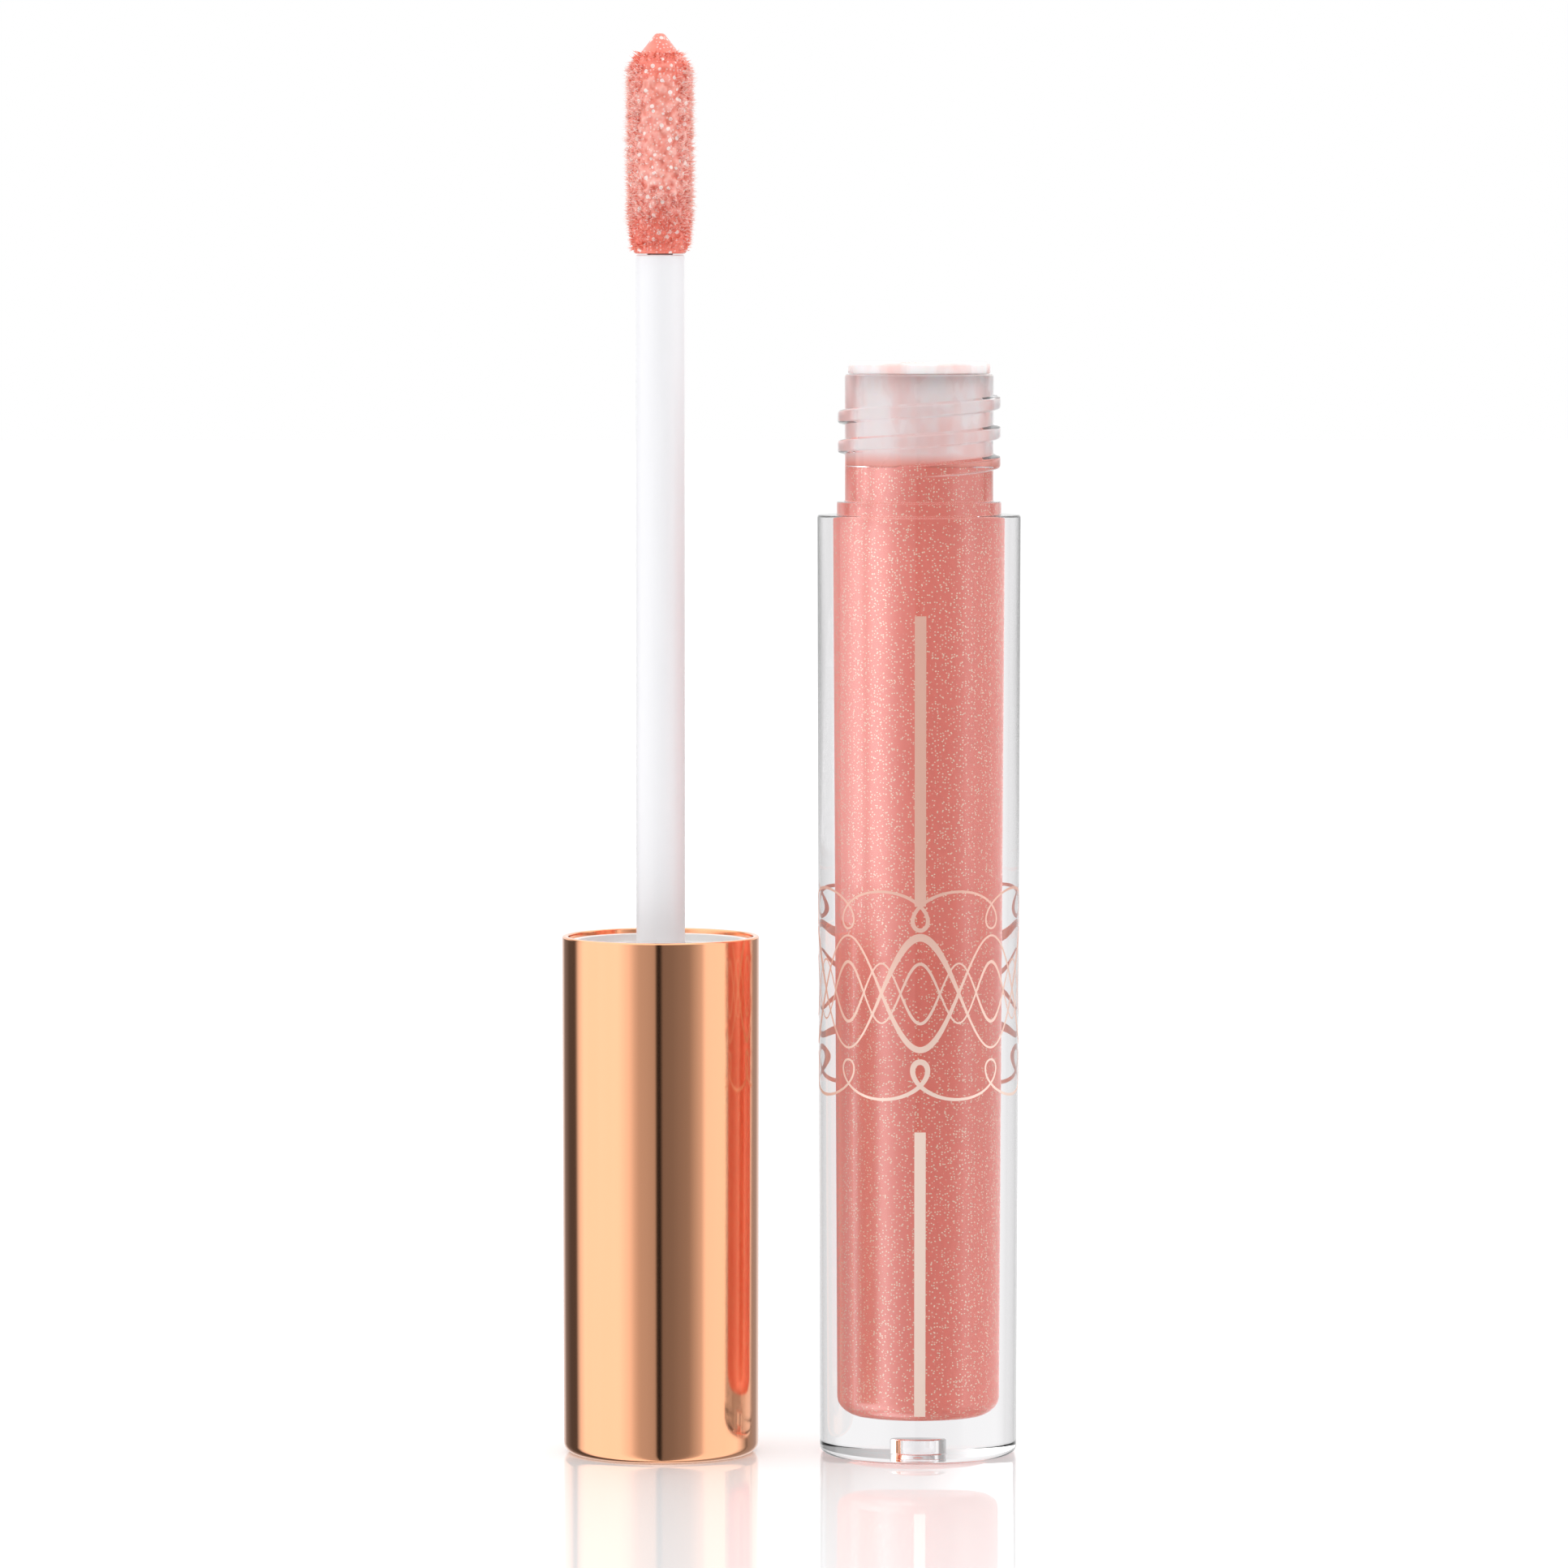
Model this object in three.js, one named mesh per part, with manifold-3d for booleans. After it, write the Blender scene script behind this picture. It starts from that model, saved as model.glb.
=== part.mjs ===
// A screw-cap lip gloss tube, open: the clear vial stands upright and the cap stands upside down
// beside it, with its wand pointing up. Millimetres, +Z up, origin on the ground at the middle.
import * as THREE from 'three';
import { mergeVertices } from 'three/addons/utils/BufferGeometryUtils.js';
import Module from 'manifold-3d';

const wasm = await Module();
wasm.setup();

// ---- Driving dimensions (mm) ----

const shoulderHeight = 79.3; // ground to the flat shoulder of the vial
const axisSpacing = 21.75; // between the standing vial and the standing cap

// Neck of the vial, and its thread
const neckDiameter = 12.5;
const neckHeight = 11.8;
const collarHeight = 1.1;
const collarOverhang = 0.675; // collar past the neck, on each side
const threadPitch = 2.5;
const threadDepth = 0.6;
const threadRootWidth = 1.4;
const threadCrestWidth = 0.8;
const neckThreadStart = 3.7; // above the shoulder
const neckThreadEnd = 10.3;
const neckThreadStartAngle = THREE.MathUtils.degToRad(-108);

// Body of the vial
const shoulderStep = 0.25; // shoulder past the cap's rim, on each side
const bodyDraft = 0.25; // the body is this much slimmer at its foot, on each side
const cavityDiameter = 9.2; // at the neck
const cavityDraft = 0.3; // the cavity is this much slimmer at its floor, on each side
const cavityCorner = 1.5;
const baseThickness = 3.4;
const footEdgeRadius = 0.6;
const shoulderEdgeRadius = 0.2;
const footRingWidth = 1.5;
const footDishDepth = 0.4;
const gateDiameter = 3.0;
const gateDepth = 1.3;

// Wiper plug
const wiperFlangeThickness = 0.85;
const wiperFlangeInset = 0.275; // flange inside the neck's edge
const wiperWall = 0.7;
const wiperLipWall = 0.45;
const wiperTubeDepth = 5.4; // straight part below the top of the neck
const wiperLipDepth = 8.3; // free lip below the top of the neck
const wiperLipClearance = 0.1; // lip to stem, on each side

// Wand
const stemDiameter = 4.1;
const applicatorLength = 18.5;
const applicatorDiameter = 5.8;
const applicatorFlare = 0.2; // applicator past the stem where they meet, on each side
const flockPile = 0.65;
const pegDiameter = 2.15;
const pegLength = 8;
const tipClearance = 0.4; // tip of the closed wand to the cavity floor

// Cap
const capHeight = 43.8;
const shellWall = 0.5;
const shellEndWall = 0.8;
const shellEndRadius = 0.9;
const shellRimRadius = 0.15;
const capDraft = 0.075; // the cap is this much slimmer at its closed end, on each side
const linerWall = 0.72; // behind the thread, ribs included
const linerRibHeight = 0.2;
const linerRibWidth = 0.8;
const linerRibCount = 12;
const linerRecess = 0.4; // liner inside the shell's rim
const linerEndGap = 0.3; // liner to the shell's end wall
const linerUpperWall = 1.1;
const septumThickness = 2;
const socketWall = 1.4;
const socketDepth = 8; // stem socket past the septum
const linerThreadNear = 4.5; // from the rim
const linerThreadFar = 9.0;
const linerThreadRootWidth = 1.2;
const linerThreadCrestWidth = 0.7;

// Clearances
const rimGap = 0.3; // cap rim to shoulder, closed
const sealGap = 0.1; // liner to wiper flange, closed
const threadClearance = 0.15; // thread crests to the wall that faces them, on each side
const collarClearance = 0.25;
const fitGap = 0.08; // pressed or bonded pieces, on each side
const fillGap = 0.1; // gloss to the wall of the cavity

// Facets
const bodyFacets = 36; // around the vial, wiper and cap
const wandFacets = 24; // around the stem and applicator
const filletFacets = 3;

// ---- Sizes that follow ----

const neckRadius = neckDiameter / 2;
const threadRadius = neckRadius + threadDepth;
const linerRootRadius = threadRadius + threadClearance;
const linerRadius = linerRootRadius + linerWall;
const capRimRadius = linerRadius + fitGap + shellWall;
const capEndRadius = capRimRadius - capDraft;
const shoulderRadius = capRimRadius + shoulderStep;
const footRadius = shoulderRadius - bodyDraft;
const cavityRadius = cavityDiameter / 2;
const floorRadius = cavityRadius - cavityDraft;
const neckTop = shoulderHeight + neckHeight;
const stemRadius = stemDiameter / 2;
const pegRadius = pegDiameter / 2;
const applicatorRadius = applicatorDiameter / 2;
const wandReach = shoulderHeight + rimGap - baseThickness - tipClearance; // cap rim to wand tip
const stemTop = capHeight + wandReach - applicatorLength;
const wandTip = capHeight + wandReach;
const flangeTop = neckTop + fitGap + wiperFlangeThickness;
const sealDepth = flangeTop + sealGap - shoulderHeight - rimGap; // from the cap's rim
const sealFace = capHeight - sealDepth;
const wiperLip = neckTop - wiperLipDepth;
const socketRadius = stemRadius + fitGap;
const stemFoot = sealFace - septumThickness - socketDepth;

// ---- Shape helpers ----

/** Points of a circular arc in a profile, from one angle to another in degrees. */
function arc(radius, centreRadius, centreHeight, fromDegrees, toDegrees) {
  return Array.from({ length: filletFacets + 1 }, (_, index) => {
    const share = index / filletFacets;
    const angle = THREE.MathUtils.degToRad(THREE.MathUtils.lerp(fromDegrees, toDegrees, share));
    return [centreRadius + radius * Math.cos(angle), centreHeight + radius * Math.sin(angle)];
  });
}

/** A body turned about +Z from a profile of [radius, height] points, with its outside on the right. */
function turned(profile, facets) {
  const points = profile.map(([radius, height]) => new THREE.Vector2(radius, height));
  return new THREE.LatheGeometry(points, facets).rotateX(Math.PI / 2);
}

/** The same for a ring, whose profile doesn't reach the axis and closes on its first point. */
function turnedRing(profile, facets) {
  return turned([...profile, profile[0]], facets);
}

/** A closed geometry as a solid that can be joined or cut. */
function solid(geometry) {
  const bare = geometry.clone();
  bare.deleteAttribute('normal');
  bare.deleteAttribute('uv');
  const merged = mergeVertices(bare);
  const corners = merged.index.array;
  const triangles = [];
  for (let at = 0; at < corners.length; at += 3) {
    const [a, b, c] = corners.slice(at, at + 3);
    if (a !== b && b !== c && c !== a) triangles.push(a, b, c);
  }
  return new wasm.Manifold(new wasm.Mesh({
    numProp: 3,
    vertProperties: Float32Array.from(merged.attributes.position.array),
    triVerts: Uint32Array.from(triangles),
  }));
}

/** The geometry of several closed geometries joined into one body. */
function joined(...geometries) {
  const mesh = geometries.map(solid).reduce((whole, next) => whole.add(next)).getMesh();
  const geometry = new THREE.BufferGeometry();
  geometry.setAttribute('position', new THREE.BufferAttribute(mesh.vertProperties, 3));
  geometry.setIndex(new THREE.BufferAttribute(mesh.triVerts, 1));
  return geometry;
}

/** A right-handed thread ridge on a helix about +Z, run out to a low step at both ends. */
function threadRidge({ rootRadius, crestRadius, rootWidth, crestWidth, start, end, startAngle }) {
  const turns = (end - start) / threadPitch;
  const steps = Math.round(turns * bodyFacets);
  const runoutSteps = bodyFacets / 6;
  const lowestRise = 0.15; // share of the full height left at the very end
  const corners = 4;
  const positions = [];
  const index = [];
  for (let step = 0; step <= steps; step += 1) {
    const height = THREE.MathUtils.lerp(start, end, step / steps);
    const angle = startAngle + (step / steps) * turns * 2 * Math.PI;
    const rise = Math.max(lowestRise, Math.min(1, step / runoutSteps, (steps - step) / runoutSteps));
    const crest = THREE.MathUtils.lerp(rootRadius, crestRadius, rise);
    const section = [
      [rootRadius, height - rootWidth / 2],
      [crest, height - crestWidth / 2],
      [crest, height + crestWidth / 2],
      [rootRadius, height + rootWidth / 2],
    ];
    for (const [radius, z] of section) positions.push(radius * Math.cos(angle), radius * Math.sin(angle), z);
  }
  for (let step = 0; step < steps; step += 1) {
    for (let corner = 0; corner < corners; corner += 1) {
      const here = step * corners + corner;
      const beside = step * corners + ((corner + 1) % corners);
      index.push(here, here + corners, beside, beside, here + corners, beside + corners);
    }
  }
  const last = steps * corners;
  index.push(0, 1, 2, 0, 2, 3, last, last + 2, last + 1, last, last + 3, last + 2);
  if (crestRadius < rootRadius) index.reverse(); // an inward ridge has its outside on the other side
  const geometry = new THREE.BufferGeometry();
  geometry.setAttribute('position', new THREE.Float32BufferAttribute(positions, 3));
  geometry.setIndex(index);
  return geometry;
}

/** A named part with its own material. */
function part(name, geometry, look) {
  const mesh = new THREE.Mesh(geometry, new THREE.MeshStandardMaterial(look));
  mesh.name = name;
  return mesh;
}

// ---- Vial: thick clear wall, foot ring with a gate recess, collar and threaded neck ----

const ridgeSink = 0.3; // how far a thread's root sinks into the wall that carries it

function vial() {
  const dishEdge = footRadius - footEdgeRadius - footRingWidth;
  const gateRadius = gateDiameter / 2;
  const collarRadius = neckRadius + collarOverhang;
  const lipRadius = 0.2;
  const body = turned([
    [0, footDishDepth + gateDepth],
    [gateRadius, footDishDepth + gateDepth],
    [gateRadius, footDishDepth],
    [dishEdge - footDishDepth, footDishDepth],
    [dishEdge, 0],
    ...arc(footEdgeRadius, footRadius - footEdgeRadius, footEdgeRadius, -90, 0),
    ...arc(shoulderEdgeRadius, shoulderRadius - shoulderEdgeRadius, shoulderHeight - shoulderEdgeRadius, 0, 90),
    [collarRadius, shoulderHeight],
    [collarRadius, shoulderHeight + collarHeight],
    [neckRadius, shoulderHeight + collarHeight],
    ...arc(lipRadius, neckRadius - lipRadius, neckTop - lipRadius, 0, 90),
    [cavityRadius, neckTop],
    ...arc(cavityCorner, floorRadius - cavityCorner, baseThickness + cavityCorner, 0, -90),
    [0, baseThickness],
  ], bodyFacets);
  const thread = threadRidge({
    rootRadius: neckRadius - ridgeSink,
    crestRadius: threadRadius,
    rootWidth: threadRootWidth,
    crestWidth: threadCrestWidth,
    start: shoulderHeight + neckThreadStart,
    end: shoulderHeight + neckThreadEnd,
    startAngle: neckThreadStartAngle,
  });
  return part('vial', joined(body, thread), { color: 0xf2eeee, roughness: 0.05, metalness: 0 });
}

// ---- Wiper: soft plug pressed into the neck, with a funnel down to its lip ----

function wiper() {
  const flangeRadius = neckRadius - wiperFlangeInset;
  const tubeRadius = cavityRadius - fitGap;
  const boreRadius = tubeRadius - wiperWall;
  const lipRadius = stemRadius + wiperLipClearance;
  const tubeEnd = neckTop - wiperTubeDepth;
  const mouthRadius = 0.5; // rounding of the mouth
  const flangeRadiusEdge = 0.2;
  return part('wiper', turnedRing([
    [lipRadius, wiperLip],
    [lipRadius + wiperLipWall, wiperLip],
    [tubeRadius, tubeEnd],
    [tubeRadius, neckTop + fitGap],
    [flangeRadius, neckTop + fitGap],
    ...arc(flangeRadiusEdge, flangeRadius - flangeRadiusEdge, flangeTop - flangeRadiusEdge, 0, 90),
    ...arc(mouthRadius, boreRadius + mouthRadius, flangeTop - mouthRadius, 90, 180),
    [boreRadius, tubeEnd],
  ], bodyFacets), { color: 0xf3e9e6, roughness: 0.45, metalness: 0 });
}

// ---- Gloss: the fill, from the cavity floor up to the wiper's lip ----

function glossFill() {
  const level = wiperLip - fillGap;
  const floor = baseThickness + fillGap;
  const cavityTop = cavityRadius - fillGap;
  const foot = floorRadius - fillGap;
  const levelShare = (level - baseThickness) / (neckTop - baseThickness);
  return part('gloss_fill', turned([
    [0, floor],
    ...arc(cavityCorner, foot - cavityCorner, floor + cavityCorner, -90, 0),
    [THREE.MathUtils.lerp(foot, cavityTop, levelShare), level],
    [0, level],
  ], bodyFacets), { color: 0xe07d70, roughness: 0.1, metalness: 0 });
}

// ---- Cap shell: a drawn metal cup that stands on its closed end ----

function capShell() {
  const innerEnd = capEndRadius - shellWall;
  const innerCorner = Math.max(shellEndRadius - shellWall, 0.1);
  return part('cap_shell', turned([
    [0, 0],
    ...arc(shellEndRadius, capEndRadius - shellEndRadius, shellEndRadius, -90, 0),
    ...arc(shellRimRadius, capRimRadius - shellRimRadius, capHeight - shellRimRadius, 0, 90),
    [capRimRadius - shellWall, capHeight],
    ...arc(innerCorner, innerEnd - innerCorner, shellEndWall + innerCorner, 0, -90),
    [0, shellEndWall],
  ], bodyFacets), { color: 0xe9b896, roughness: 0.22, metalness: 1 });
}

// ---- Cap liner: moulded inner cap with the thread, the seal face and the stem socket ----

function capLiner() {
  const rim = capHeight - linerRecess;
  const foot = shellEndWall + linerEndGap;
  const wallRadius = linerRadius - linerRibHeight - capDraft;
  const collarBore = neckRadius + collarOverhang + collarClearance;
  const collarDepth = collarHeight - rimGap + collarClearance;
  const upperBore = wallRadius - linerUpperWall;
  const rimBandDepth = 2; // plain full-size band that centres the rim
  const rimBandRadius = linerRadius;
  const socketEnd = sealFace - septumThickness - socketDepth;
  const body = turnedRing([
    [socketRadius, sealFace],
    [socketRadius, socketEnd],
    [socketRadius + socketWall, socketEnd],
    [socketRadius + socketWall, sealFace - septumThickness],
    [upperBore, sealFace - septumThickness],
    [upperBore, foot],
    [wallRadius, foot],
    [wallRadius, rim - rimBandDepth],
    [rimBandRadius, rim - rimBandDepth],
    [rimBandRadius, rim],
    [collarBore, rim],
    [collarBore, capHeight - collarDepth],
    [linerRootRadius, capHeight - collarDepth],
    [linerRootRadius, sealFace],
  ], bodyFacets);
  const crestRadius = neckRadius + threadClearance;
  const threadStart = capHeight - linerThreadFar;
  // When closed, this end of the ridge lies half a pitch above the neck's ridge.
  const closedHeight = rimGap + linerThreadFar;
  const turnsUp = (closedHeight - neckThreadStart - threadPitch / 2) / threadPitch;
  const thread = threadRidge({
    rootRadius: linerRootRadius + ridgeSink,
    crestRadius,
    rootWidth: linerThreadRootWidth,
    crestWidth: linerThreadCrestWidth,
    start: threadStart,
    end: capHeight - linerThreadNear,
    startAngle: Math.PI - (neckThreadStartAngle + turnsUp * 2 * Math.PI),
  });
  const ribLength = rim - rimBandDepth - foot;
  const ribSink = 0.2;
  const ribs = Array.from({ length: linerRibCount }, (_, index) => {
    const rib = new THREE.BoxGeometry(linerRibHeight + ribSink, linerRibWidth, ribLength);
    rib.translate(wallRadius + (linerRibHeight - ribSink) / 2, 0, foot + ribLength / 2);
    return rib.rotateZ((index + 0.5) * (2 * Math.PI / linerRibCount));
  });
  return part('cap_liner', joined(body, thread, ...ribs), { color: 0xf4f1ee, roughness: 0.4, metalness: 0 });
}

// ---- Wand stem: a plain rod pressed into the liner, bored at its free end for the applicator ----

function wandStem() {
  const chamfer = 0.2;
  const boreRadius = pegRadius + fitGap;
  const boreFloor = stemTop - pegLength - 0.3;
  return part('wand_stem', turned([
    [0, stemFoot],
    [stemRadius - chamfer, stemFoot],
    [stemRadius, stemFoot + chamfer],
    [stemRadius, stemTop - chamfer],
    [stemRadius - chamfer, stemTop],
    [boreRadius, stemTop],
    [boreRadius, boreFloor],
    [0, boreFloor],
  ], wandFacets), { color: 0xf7f7f9, roughness: 0.35, metalness: 0 });
}

// ---- Applicator: a springy core on a peg, under a sleeve of flock ----

/** The applicator's outline from the tip down, taken in by inset; it starts on the axis. */
function applicatorOutline(inset) {
  const neck = stemRadius + applicatorFlare;
  const full = applicatorRadius;
  const outline = [ // distance from the tip, radius: a cone with a soft nipple, a barrel, a neck
    [0, 0.08 * full],
    [0.4, 0.25 * full],
    [1.1, 0.45 * full],
    [1.8, 0.74 * full],
    [2.5, 0.89 * full],
    [3.9, full],
    [applicatorLength - 4, full],
    [applicatorLength - 2.2, THREE.MathUtils.lerp(neck, full, 0.52)],
    [applicatorLength - 0.8, THREE.MathUtils.lerp(neck, full, 0.2)],
    [applicatorLength - fitGap, neck],
  ];
  const points = outline.map(([fromTip, radius]) => [radius - inset, wandTip - fromTip]);
  const first = points.findIndex(([radius]) => radius > 0);
  if (first === 0) return [[0, wandTip], ...points];
  const [[radiusBefore, heightBefore], [radiusAfter, heightAfter]] = [points[first - 1], points[first]];
  const share = -radiusBefore / (radiusAfter - radiusBefore);
  return [[0, THREE.MathUtils.lerp(heightBefore, heightAfter, share)], ...points.slice(first)];
}

function applicatorCore() {
  const pegEnd = stemTop - pegLength;
  return part('applicator_core', turned([
    [0, pegEnd],
    [pegRadius, pegEnd],
    [pegRadius, stemTop + fitGap],
    ...applicatorOutline(flockPile).reverse(),
  ], wandFacets), { color: 0xe9c9bf, roughness: 0.6, metalness: 0 });
}

function applicatorFlock() {
  return part('applicator_flock', turned([
    ...applicatorOutline(flockPile - fitGap),
    ...applicatorOutline(0).reverse(),
  ], wandFacets), { color: 0xe79a8c, roughness: 0.9, metalness: 0 });
}

// ---- Assembly ----

// The two standing groups are centred on the origin as one outline.
const outlineHalfWidth = (capRimRadius + axisSpacing + shoulderRadius) / 2;

const openVial = new THREE.Group();
openVial.position.x = outlineHalfWidth - shoulderRadius;
openVial.add(vial(), wiper(), glossFill());

const capWithWand = new THREE.Group();
capWithWand.position.x = capRimRadius - outlineHalfWidth;
capWithWand.add(capShell(), capLiner(), wandStem(), applicatorCore(), applicatorFlock());

const lipGlossTube = new THREE.Group();
lipGlossTube.add(openVial, capWithWand);

export default lipGlossTube;
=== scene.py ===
import math
import random

import bmesh
import bpy
from mathutils import Matrix, Vector


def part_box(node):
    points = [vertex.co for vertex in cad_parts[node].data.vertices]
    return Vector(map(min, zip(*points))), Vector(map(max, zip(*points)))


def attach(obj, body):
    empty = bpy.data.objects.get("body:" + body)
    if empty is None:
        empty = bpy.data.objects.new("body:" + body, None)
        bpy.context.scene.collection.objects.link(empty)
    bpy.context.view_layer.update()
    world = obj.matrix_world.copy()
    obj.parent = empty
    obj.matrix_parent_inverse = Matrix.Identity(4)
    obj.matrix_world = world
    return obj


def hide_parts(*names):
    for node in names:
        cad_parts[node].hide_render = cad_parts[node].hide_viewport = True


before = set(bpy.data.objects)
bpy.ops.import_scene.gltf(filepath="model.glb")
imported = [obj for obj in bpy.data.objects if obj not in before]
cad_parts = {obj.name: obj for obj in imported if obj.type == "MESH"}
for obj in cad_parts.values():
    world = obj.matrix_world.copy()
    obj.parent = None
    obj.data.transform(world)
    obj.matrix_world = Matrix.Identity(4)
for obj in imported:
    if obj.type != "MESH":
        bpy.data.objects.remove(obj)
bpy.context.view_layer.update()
MM = 0.001

# ---------------------------------------------------------------------------
# Camera: a long lens just above the mouth of the vial, looking slightly down.
# The standing cap with its wand is on the left and the vial on the right.
# ---------------------------------------------------------------------------

camera_distance = 680 * MM
camera_height = 100 * MM
camera_aim_height = 56.6 * MM
camera_x = -0.6 * MM

camera_data = bpy.data.cameras.new("camera")
camera_data.sensor_width = 36
camera_data.lens = 185.7
camera_data.clip_end = 50
camera = bpy.data.objects.new("camera", camera_data)
bpy.context.collection.objects.link(camera)
camera.location = (camera_x, -camera_distance, camera_height)
sight = Vector((camera_x, 0, camera_aim_height)) - camera.location
camera.rotation_euler = sight.to_track_quat("-Z", "Y").to_euler()
bpy.context.scene.camera = camera

# ---------------------------------------------------------------------------
# Studio: a white floor under an even white sky, with a tall softbox on each
# side and darker flags between them, which draw the bands on the round walls.
# ---------------------------------------------------------------------------

floor_half_width = 4.0
floor_colour = (0.93, 0.93, 0.935, 1)
overhead_light = 1.5
backdrop_light = 1.06
seen_through_light = 0.93
# Brightness round the tube: degrees from the camera's side, positive to the right.
studio_bands = [
    (-180, 0.90), (-163, 0.85), (-152, 0.25), (-135, 0.10), (-119, 0.09), (-112, 0.95),
    (-102, 1.42), (-50, 1.42), (-37, 1.1), (-29, 0.72), (-24, 0.58), (-5, 0.50), (-4.2, 0.01),
    (1.2, 0.01), (2.0, 0.23), (14, 0.24), (34, 0.34), (50, 0.75), (55, 1.25), (103, 1.35),
    (112, 0.95), (118, 0.60), (124, 0.20), (129, 0.38), (152, 0.40), (163, 0.85), (180, 0.90),
]
# The same studio for what is reflected inside clear plastic, with the soft boxes drawn stronger.
bands_inside_plastic = [
    (-180, 0.60), (-155, 1.1), (-130, 2.6), (-110, 3.8), (-70, 3.4), (-48, 1.7), (-28, 0.8),
    (-8, 0.5), (10, 0.4), (45, 0.35), (70, 0.4), (82, 1.0), (96, 1.0), (108, 0.4), (140, 0.40),
    (165, 0.6), (180, 0.60),
]
bands_fade_from = 0.25  # sine of the height angle where the bands start to melt into the sky
bands_fade_to = 0.6
backdrop_edges = (0.5, 0.8)  # how squarely behind the tube a direction is, at the backdrop's soft edge
horizon_softness = 0.02

bpy.ops.object.select_all(action="DESELECT")
bpy.ops.mesh.primitive_grid_add(x_subdivisions=8, y_subdivisions=8, size=2 * floor_half_width)
floor = bpy.context.active_object
floor.name = "studio_floor"
floor.visible_glossy = False
floor.visible_transmission = False


def new_material(name):
    """A material with its Principled node, for the nodes that follow to feed."""
    material = bpy.data.materials.new(name)
    material.use_nodes = True
    nodes, links = material.node_tree.nodes, material.node_tree.links
    return material, nodes, links, nodes["Principled BSDF"]


def floor_material():
    material, nodes, links, surface = new_material("white_floor")
    surface.inputs["Roughness"].default_value = 0.02
    surface.inputs["IOR"].default_value = 1.33
    where = nodes.new("ShaderNodeTexCoord")
    mottle = nodes.new("ShaderNodeTexNoise")
    mottle.inputs["Scale"].default_value = 6
    tone = nodes.new("ShaderNodeMixRGB")
    tone.inputs["Color1"].default_value = floor_colour
    tone.inputs["Color2"].default_value = [0.99 * channel for channel in floor_colour[:3]] + [1]
    links.new(where.outputs["Object"], mottle.inputs["Vector"])
    links.new(mottle.outputs["Fac"], tone.inputs["Fac"])
    links.new(tone.outputs["Color"], surface.inputs["Base Color"])
    return material


floor.data.materials.append(floor_material())


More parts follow.
